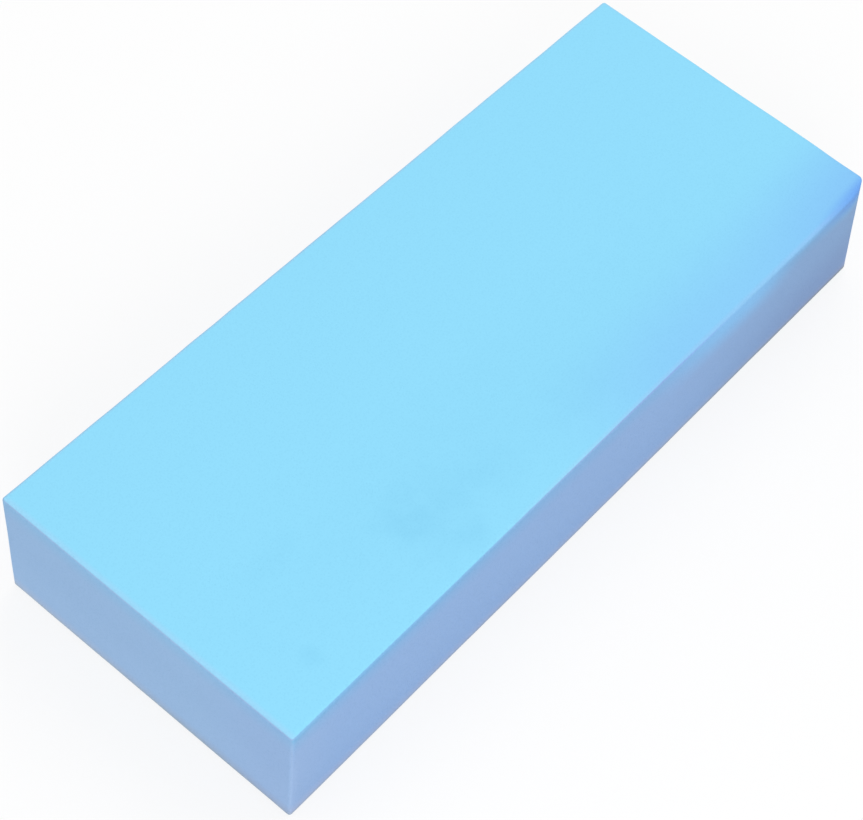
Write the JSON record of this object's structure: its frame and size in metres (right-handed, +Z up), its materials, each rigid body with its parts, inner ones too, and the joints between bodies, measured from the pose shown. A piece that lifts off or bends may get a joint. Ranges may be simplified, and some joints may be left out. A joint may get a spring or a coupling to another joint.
{
  "type": "painting sponge",
  "caption": "Rectangular block of fine-pored pale blue foam with flat faces and lightly rounded edges, held in the hand to dab, blend and wipe paint.",
  "frame": {"origin": "middle of the resting face", "axes": "+Y along the block's length, +X along its width, +Z up out of the top face"},
  "size_m": [0.061, 0.15, 0.0255],
  "materials": {
    "foam": "matte fine-pored foam"
  },
  "bodies": {
    "root": {"sponge_block": "foam"}
  },
  "joints": []
}
